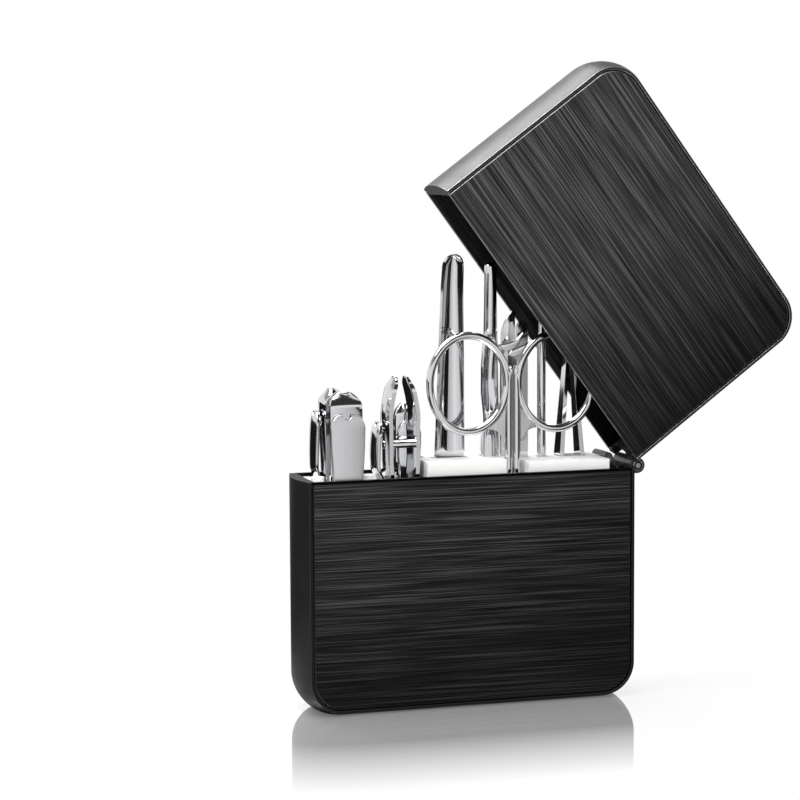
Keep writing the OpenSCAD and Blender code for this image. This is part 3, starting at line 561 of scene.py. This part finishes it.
def arched_leaf(clipper, part, away):
    """A leaf whose edges bend back below the jaws. In the jaws its middle stands out, and at
    the top it is round-shouldered and thins towards the cutting edge."""
    half, jaw_foot = clipper.leaf
    edge_bend, jaw_arch, jaw_height = 0.3, 0.6, 4
    tip_height, tip_thinning, tip_dome, shoulder = 3, 0.5, 0.75, 0.86
    leaf = soften(f"{clipper.name}_clipper_{part}", clipper.body, steel_polished,
                  0)
    wide, deep = (1, 0) if clipper.sideways else (0, 1)
    centre = clipper.middle[wide]
    corners = [point.co / mm for point in leaf.data.vertices]
    peak = max(corner.z for corner in corners)
    tip = min((corner[deep] for corner in corners if corner.z > peak - 0.3),
              key=lambda value: abs(value - clipper.middle[deep]))

    def arch(*place):
        flat, thick, z = place[wide] - centre, place[deep], place[2]
        across = flat / half
        jaw = eased(share(z, jaw_foot, jaw_foot + jaw_height))
        end = share(z, peak - tip_height, peak)
        thick += away * (edge_bend * across ** 2 * (1 - jaw)
                         - jaw_arch * (1 - across ** 2) * jaw * (1 - end ** 2))
        thick += (tip - thick) * tip_thinning * end ** 2
        z += tip_dome * (1 - min(across ** 2, 1)) * end ** 2
        flat *= (1 - (shoulder * end) ** 2) ** 0.5
        return (thick, centre + flat, z) if clipper.sideways else (centre + flat, thick, z)

    axis = (0, 1, 0) if clipper.sideways else (1, 0, 0)
    shape(leaf.data, ((axis, steps(centre - half, centre + half, 12)),
                      ((0, 0, 1), steps(50, 76, 60))), arch)
    leaf.data.shade_smooth()
    leaf.data.set_sharp_from_angle(angle=radians(38))


def pressed_lever(clipper):
    """A thumb lever: crowned across, bowed along, with sloping shoulders, a notch at the top and
    a roll behind it that bears on the leaf."""
    wide, foot, top, front, bow = clipper.lever
    half = wide / 2
    neck, waist = half * 0.8, half * 0.84
    waist_height, tray_top = 53, 51.8
    notch = 0.85
    slope = half - 1.75
    outline = ([(-neck, foot), (neck, foot), (waist, waist_height), (half * 0.96, top - 8)]
               + bend((half, top - 2.9), (half, top - 2.0), (slope + 0.7, top - 0.2),
                      (slope, top), 8)
               + oval((0, top), (notch, notch + 0.15), 0, -180, 14)
               + [(-notch, top)]
               + bend((-slope, top), (-slope - 0.7, top - 0.2), (-half, top - 2.0),
                      (-half, top - 2.9), 8)
               + [(-half * 0.96, top - 8), (-waist, waist_height)])
    plate = forged_plate(outline, 0.8, 0.22)

    def press(x, y, z):
        crown = 0.32 * (x / half) ** 2
        curl = 0.3 * max(0, (z - top + 3.2) / 3.2) ** 2
        arch = max(0, 1 - ((z - 57.5) / (top - 55)) ** 2)
        bowed = bow * eased(share(z, tray_top, tray_top + 3)) * arch
        return x, y + front + 0.42 + crown + curl - bowed, z

    shape(plate, (((1, 0, 0), steps(-half, half, 12)), ((0, 0, 1), steps(foot, top, 44))), press)
    roll_half, roll_high = half - 2.2, 0.62
    roll = forged_plate([(-roll_half, -roll_high), (roll_half, -roll_high),
                         (roll_half, roll_high), (-roll_half, roll_high)], 1.1, 0.5)
    roll.transform(Matrix.Translation(Vector((0, front + 1.9, top - 1.8)) * mm))
    piece = join_meshes(f"{clipper.name}_thumb_lever", [plate, roll], clipper.finish)
    stand_in_place(piece, clipper)
    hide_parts(f"{clipper.name}_clipper_lever")
    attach(piece, clipper.body)


def clipper_post(clipper):
    """The pin: a domed head behind, a post through both leaves, and its end under the lever."""
    half, height = clipper.pin
    back, front = -half, half + 0.25
    dome = [(0.3 + 1.4 * sin(radians(a)), back - 0.4 * cos(radians(a))) for a in range(0, 91, 15)]
    post = turned_form([(0.2, back - 0.41)] + dome + [(1.7, back), (0.9, back),
                                                     (0.9, front - 0.25), (0.75, front)])
    post.transform(Matrix.Rotation(pi / 2, 4, "X"))
    piece = join_meshes(f"{clipper.name}_post", [post], steel_polished)
    stand_in_place(piece, clipper, height)
    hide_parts(f"{clipper.name}_clipper_pin")
    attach(piece, clipper.body)


for clipper in clippers:
    arched_leaf(clipper, "upper_leaf", 1)
    arched_leaf(clipper, "lower_leaf", -1)
    pressed_lever(clipper)
    clipper_post(clipper)

# ---- Scissors ---------------------------------------------------------------------------------
# Two drop-forged halves, polished and plated, held by one screw. Ring and shank are one rounded
# forging with a web between them; below, each half is ground to half its thickness for the lap.

pivot = Vector((10.6, -4, 32)) * mm
pivot_radius = 2.4
ring_place = (-10.5, 41.2)
ring_outside = (10, 11.8)
wire = 1.75
forging = 1.8
shank = 1.85
lap_top = 2.5
blade_length = 26
half_gap = 0.05


def ring_wire(centre, outside, width, depth, count=96, sides=16):
    """A closed oval ring of oval wire, in X and Z. Sizes in mm."""
    loops = []
    for a in (tau * k / count for k in range(count)):
        middle = Vector((centre[0] + (outside[0] - width / 2) * cos(a), 0,
                         centre[1] + (outside[1] - width / 2) * sin(a)))
        out = Vector((cos(a) / outside[0], 0, sin(a) / outside[1])).normalized()
        loops.append([middle + out * (width / 2 * cos(tau * k / sides))
                      + Vector((0, depth / 2 * sin(tau * k / sides), 0)) for k in range(sides)])
    return loft("ring", loops, closed=True)


def scissors_half(name, node, turned):
    """One half, drawn about the pivot with its ring at the left. The other is turned round, and
    only the stops between the rings differ."""
    ring = ring_wire(ring_place, ring_outside, wire, forging)
    inner_side = [(-half_gap, z) for z in (lap_top, 14, 26, 37, 43)]
    throat = bend((-half_gap, 43.3), (-0.1, 44.2), (-0.3, 45), (-0.8, 45.6), 4)
    outer_side = [(-1.1, 44.6), (-1.6, 42.5), (-shank, 40), (-shank, 14), (-shank, lap_top)]
    bar = forged_plate(inner_side + throat + outer_side, forging, 0.82)
    middle = (ring_outside[0] - wire / 2, ring_outside[1] - wire / 2)
    web = forged_plate(oval(ring_place, middle, 350, 299, 24)
                       + bend((-5.6, 30.7), (-3.7, 30.5), (-2.4, 29.6), (-1.8, 26.8), 10)
                       + [(-1, 26.8), (-1, 38)], 0.5, 0.1)
    if turned:
        stop = (bend((-4, 50.1), (-2.4, 49.4), (-0.6, 48.8), (0.7, 48.2), 10)
                + bend((0.8, 47.4), (-0.4, 46.6), (-1.4, 46.8), (-2.6, 48), 10))
    else:
        stop = (bend((-4, 49.9), (-2, 50.1), (0.6, 50), (2.1, 52.6), 12)
                + bend((2.25, 52.5), (1.9, 49.6), (0.2, 48), (-2.6, 48.4), 12))
    horn = forged_plate(stop, 0.8, 0.3, depth=-0.45)
    lap = oval((0, 0), (pivot_radius, pivot_radius), 20, 100, 8)
    neck = [(-half_gap, lap_top + 0.4), (-shank, lap_top + 0.4), (-pivot_radius + 0.1, 0)]
    back = bend((-1.9, -2), (-1.3, -10), (-0.6, -18), (0.3, -blade_length), 10)
    edge = bend((0.4, -blade_length), (1.4, -18), (2.2, -9), (2.3, -0.8), 10)
    lower = forged_plate(lap + neck + back + edge, forging / 2 - half_gap, 0.1,
                         depth=-forging / 4 - half_gap / 2)
    piece = join_meshes(name, [ring, bar, web, horn, lower], steel_polished)
    if turned:
        piece.data.transform(Matrix.Rotation(pi, 4, "Z"))
    piece.data.transform(Matrix.Translation(pivot))
    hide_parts(node)
    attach(piece, "scissors")


scissors_half("scissors_half_left", "scissors_left_half", False)
scissors_half("scissors_half_right", "scissors_right_half", True)
soften("scissors_screw", "scissors", steel_polished, 0.1)

# ---- Slim tools -------------------------------------------------------------------------------
# Pusher, ear pick, probe, knife, file, nail cleaner and tweezers, all of polished steel. The
# ear pick has a knurled grip, and the file fine teeth.

slim_foot = 5.2
pusher_lean = radians(1.1)
dish_foot, dish_top = 65.5, 83.5

for tool, body, edge_width in (
        ("probe", "probe tool", 0.08), ("nail_file", "file", 0.1), ("nail_cleaner", "cleaner", 0),
        ("tweezers_left_arm", "tweezers", 0.1), ("tweezers_right_arm", "tweezers", 0.1)):
    soften(tool, body, steel_polished, edge_width)

knife_outline = ([(12, slim_foot), (14, slim_foot), (14.9, 6.7), (14.9, 70), (14.6, 89.2)]
                 + bend((14.5, 89.2), (13.2, 88.3), (11.6, 86.4), (11.1, 83), 12)
                 + [(11.05, 70), (11.05, 6.7)])
knife = join_meshes("knife_blade", [forged_plate(knife_outline, 0.9, 0.2, depth=6)],
                    steel_polished)
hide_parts("cuticle_knife")
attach(knife, "knife")


def gutter(length, foot_width, top_width, steel, across=20):
    """The pusher: a blade curved across like a gutter, with a round scooped end. Sizes in mm."""
    end = top_width / 2
    widens_from, scoop_length, scoop_depth = 0.36, 6, 1.4
    heights = [length * k / 40 for k in range(38)]
    heights += [length - end + end * sin(radians(a))
                for a in (0, 15, 30, 42, 54, 64, 73, 81, 87)]
    loops = []
    for z in heights:
        risen = share(z / length, widens_from, 1)
        half = (foot_width + (top_width - foot_width) * risen) / 2
        half = min(half, foot_width / 2 - 2 + 0.7 * z)
        if z > length - end:
            half = max((end ** 2 - (z - length + end) ** 2) ** 0.5, 0.2)
        inset = steel / 2 if half > 1 else 0
        sag = 1.2 + 0.15 * risen
        scoop = scoop_depth * max(0, (z - length + scoop_length) / scoop_length) ** 2
        loop = []
        for side in (-1, 1):
            for u in ((2 * k / across - 1) * -side for k in range(across + 1)):
                slope = 2 * sag * u / half if half > 1 else 0
                lean = Vector((slope, 1, 0)).normalized()
                middle = Vector(((half - inset) * u, sag * (1 - u * u) - sag / 2 - scoop, z))
                loop.append(middle + lean * side * steel / 2)
        loops.append(loop)
    return loft("gutter", loops)


pusher_blade = gutter(97.2, 8.4, 5.2, 0.6)
pusher_blade.transform(Matrix.Translation(Vector((-3.9, 1.2, slim_foot)) * mm)
                       @ Matrix.Rotation(pusher_lean, 4, "Y"))
pusher = join_meshes("pusher_blade", [pusher_blade], steel_polished, sharp_from=50)
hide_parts("cuticle_pusher")
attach(pusher, "pusher")

pick_outline = ([(1.3, slim_foot), (1.75, 5.7), (1.75, 60.8), (1.2, 62.5), (1.3, 65.5),
                 (1.9, 70.5), (1.95, 76), (1.75, 80), (1.45, 84), (1.4, 90)]
                + [(0.2 + 1.22 * cos(radians(a)), 99.2 + sin(radians(a)))
                   for a in range(0, 91, 10)])
fine_outline = [(a[0] + (b[0] - a[0]) * k / 6, a[1] + (b[1] - a[1]) * k / 6)
                for a, b in zip(pick_outline, pick_outline[1:]) for k in range(6)]
pick_form = turned_form(fine_outline + pick_outline[-1:], sides=48)
for point in pick_form.vertices:
    x, y, z = point.co / mm
    if dish_foot < z < dish_top:
        dished = sin(pi * (z - dish_foot) / (dish_top - dish_foot)) ** 0.5
        wide = max((x * x + y * y) ** 0.5, 0.1)
        hollow = dished * (0.3 - 0.9 * (x / wide) ** 2) - (1 - dished)
        point.co.y = max(y, hollow * wide) * mm
    point.co.x += 0.6 * max(0, (z - 64) / 36) * mm
pick_form.transform(Matrix.Translation(Vector((6.6, 1.2, 0)) * mm))
pick = join_meshes("ear_pick_shank", [pick_form], steel_polished, sharp_from=45)
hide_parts("ear_pick")
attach(pick, "ear pick")


def grip_tree(name, kind):
    """Geometry Nodes that set small studs round a handle, or teeth up a blade."""
    tree, given, out = start_group(
        name,
        [("Geometry", "Geometry"), ("Rows", "Int"), ("Radius", "Float"), ("Height", "Float"),
         ("Base", "Vector"), ("Finish", "Material")],
        [("Geometry", "Geometry")],
        kind="GeometryNodeTree",
    )
    if kind == "studs":
        rows = add(tree, "GeometryNodeMeshCylinder",
                   {"Side Segments": given["Rows"], "Vertices": 20, "Radius": given["Radius"],
                    "Depth": given["Height"]}, fill_type="NONE")
        unit = add(tree, "GeometryNodeMeshIcoSphere", {"Radius": 0.17 * mm, "Subdivisions": 1})
    else:
        step = add(tree, "ShaderNodeMath", {0: given["Height"], 1: given["Rows"]},
                   operation="DIVIDE")
        offset = add(tree, "ShaderNodeCombineXYZ", {"Z": step.outputs[0]})
        rows = add(tree, "GeometryNodeMeshLine", {"Count": given["Rows"],
                                                  "Offset": offset.outputs[0]})
        unit = add(tree, "GeometryNodeMeshCylinder", {"Vertices": 4, "Radius": 0.1 * mm,
                                                      "Depth": given["Radius"]})
    place = add(tree, "GeometryNodeTransform", {"Geometry": rows.outputs["Mesh"],
                                                "Translation": given["Base"]})
    units = add(tree, "GeometryNodeInstanceOnPoints", {"Points": place.outputs[0],
                                                       "Instance": unit.outputs["Mesh"]})
    if kind == "teeth":
        units.inputs["Rotation"].default_value = (0, radians(62), 0)
    real = add(tree, "GeometryNodeRealizeInstances", {"Geometry": units.outputs[0]})
    painted = add(tree, "GeometryNodeSetMaterial", {"Geometry": real.outputs[0],
                                                    "Material": given["Finish"]})
    tree.links.new(painted.outputs[0], out["Geometry"])
    return tree


def grown(name, tree, body, **sizes):
    """A piece made by a Geometry Nodes tree, as a plain mesh."""
    holder = new_object(name, bpy.data.meshes.new(name))
    grower = holder.modifiers.new("grower", "NODES")
    grower.node_group = tree
    for item in tree.interface.items_tree:
        if item.in_out == "INPUT" and item.name in sizes:
            grower[item.identifier] = sizes[item.name]
    shown = holder.evaluated_get(bpy.context.evaluated_depsgraph_get())
    finished = bpy.data.meshes.new_from_object(shown)
    bpy.data.objects.remove(holder)
    piece = new_object(name, finished)
    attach(piece, body)


grown("ear_pick_knurls", grip_tree("knurls", "studs"), "ear pick", Rows=22, Radius=1.75 * mm,
      Height=11 * mm, Base=(6.6 * mm, 1.2 * mm, 54.5 * mm), Finish=steel_polished)
grown("file_teeth", grip_tree("file_cut", "teeth"), "file", Rows=60, Radius=2.6 * mm,
      Height=24 * mm, Base=(15.1 * mm, 1.88 * mm, 59 * mm), Finish=steel_polished)

# ---- Studio -----------------------------------------------------------------------------------
# A glossy white table that runs into a white background, with soft light from above and all
# round. Steel sees black flags in the table, which draw its dark lines, and a dark hood above
# the front, which shades the faces that lean back.

table_size = 6
footprint = (0.034, 0.009)
haze = 0.14
haze_starts, haze_ends = 0.026, 0.066
white_level = 1
hood_level = 0.04
fill_level = 0.7
hood_starts, hood_full = -0.22, -0.34

flag_stops = ((0.0, 0.8), (0.05, 1), (0.125, 0.8), (0.145, 0.01), (0.29, 0.01), (0.3, 1),
              (0.33, 0.5), (0.345, 0.01), (0.468, 0.01), (0.478, 1), (0.503, 1), (0.512, 0.01),
              (0.585, 0.01), (0.597, 1), (0.655, 0.6), (0.668, 0.01), (0.745, 0.01),
              (0.755, 0.8), (0.785, 1), (0.795, 0.01), (0.915, 0.01), (0.928, 0.55), (1.0, 0.8))
sky_stops = ((0, 0.95), (0.27, 0.95), (0.36, 0.42), (0.55, 0.42), (0.8, 1))
hood_stops = ((0.34, 0), (0.4, 1), (0.93, 1), (0.98, 0))


def ramp(tree, value, stops):
    """Grey levels along a value from 0 to 1, from pairs of place and level."""
    made = add(tree, "ShaderNodeValToRGB", {"Fac": value})
    elements = made.color_ramp.elements
    while len(elements) < len(stops):
        elements.new(0.5)
    for element, (position, level) in zip(elements, stops):
        element.position = position
        element.color = (*grey(level), 1)
    return made.outputs[0]


def flag_light():
    """What steel sees round the set, by bearing: white card with black flags between."""
    group, given, out = start_group("flag_light", [("Vector", "Vector")], [("Color", "Color")])
    split = add(group, "ShaderNodeSeparateXYZ", {"Vector": given["Vector"]})
    bearing = add(group, "ShaderNodeMath", {0: split.outputs["X"], 1: split.outputs["Y"]},
                  operation="ARCTAN2")
    flags = ramp(group, between(group, bearing.outputs[0], 0, 1, -pi, pi), flag_stops)
    group.links.new(flags, out["Color"])
    return group


bpy.ops.mesh.primitive_plane_add(size=table_size)
table = bpy.context.object
table.name = "table"
table_white, table_tree, table_surface, table_place = start_material("table_white")
table_surface.inputs["Base Color"].default_value = (*grey(0.92), 1)
table_surface.inputs["Roughness"].default_value = 0.03
table_surface.inputs["Metallic"].default_value = 0.82
plain_side = add(table_tree, "ShaderNodeVectorMath", {0: table_place}, operation="ABSOLUTE")
beyond = add(table_tree, "ShaderNodeVectorMath", {0: plain_side.outputs[0], 1: (*footprint, 0)},
             operation="SUBTRACT")
outside = add(table_tree, "ShaderNodeVectorMath", {0: beyond.outputs[0], 1: (0, 0, 0)},
              operation="MAXIMUM")
away = add(table_tree, "ShaderNodeVectorMath", {0: outside.outputs[0]}, operation="LENGTH")
far = between(table_tree, away.outputs["Value"], haze, 1, haze_starts, haze_ends)
light_path = add(table_tree, "ShaderNodeLightPath")
seen = add(table_tree, "ShaderNodeMath", {0: light_path.outputs["Is Camera Ray"],
                                          1: light_path.outputs["Is Glossy Ray"]},
           operation="MAXIMUM")
white_share = add(table_tree, "ShaderNodeMath", {0: far, 1: seen.outputs[0]},
                  operation="MULTIPLY")
table_flags = use_group(table_tree, flag_light(), {"Vector": table_place})["Color"]
table_light = mix(table_tree, light_path.outputs["Is Camera Ray"], table_flags,
                  grey(white_level))
white = add(table_tree, "ShaderNodeEmission", {"Color": table_light, "Strength": 1})
table_mix = add(table_tree, "ShaderNodeMixShader", {0: white_share.outputs[0],
                                                    1: table_surface.outputs[0],
                                                    2: white.outputs[0]})
table_tree.links.new(table_mix.outputs[0], table_tree.nodes["Material Output"].inputs["Surface"])
table.data.materials.append(table_white)

world = bpy.data.worlds.new("studio")
bpy.context.scene.world = world
world.use_nodes = True
sky_tree = world.node_tree
direction = add(sky_tree, "ShaderNodeTexCoord").outputs["Generated"]
heading = add(sky_tree, "ShaderNodeSeparateXYZ", {"Vector": direction})
front = between(sky_tree, heading.outputs["Y"], 1, 0, hood_full, hood_starts)
hooded = add(sky_tree, "ShaderNodeMath",
             {0: ramp(sky_tree, heading.outputs["Z"], hood_stops), 1: front},
             operation="MULTIPLY")
mirrored_sky = mix(sky_tree, hooded.outputs[0],
                   ramp(sky_tree, heading.outputs["Z"], sky_stops), grey(hood_level))
sky_path = add(sky_tree, "ShaderNodeLightPath").outputs
lighting_sky = mix(sky_tree, sky_path["Is Glossy Ray"], grey(fill_level), mirrored_sky)
sky_tree.links.new(mix(sky_tree, sky_path["Is Camera Ray"], lighting_sky, grey(white_level)),
                   sky_tree.nodes["Background"].inputs["Color"])


def add_softbox(name, place, target, size, power, mirrored=True):
    """An area light that the camera doesn't see, and the steel only if it is mirrored."""
    lamp = bpy.data.lights.new(name, "AREA")
    lamp.shape = "RECTANGLE"
    lamp.size, lamp.size_y = size
    lamp.energy = power
    box = new_object(name, lamp)
    box.location = place
    box.rotation_euler = (Vector(target) - Vector(place)).to_track_quat("-Z", "Y").to_euler()
    box.visible_camera = False
    box.visible_glossy = mirrored


add_softbox("top_softbox", (-0.38, 0.0, 0.88), (0.02, 0, 0.1), (0.55, 0.95), 12)
add_softbox("right_softbox", (0.8, -0.95, 0.4), (0, 0, 0.08), (0.5, 0.4), 7, mirrored=False)
add_softbox("band_softbox", (-0.25, 0.72, 0.88), (0, 0, 0.1), (0.5, 0.3), 7)
add_softbox("edge_softbox", (-0.46, -0.33, 0.9), (0, 0, 0.09), (0.3, 0.3), 1)
add_softbox("back_softbox", (0.1, 1.0, 0.7), (0, 0, 0.1), (0.7, 0.4), 3, mirrored=False)

bpy.context.scene.view_settings.view_transform = "Standard"
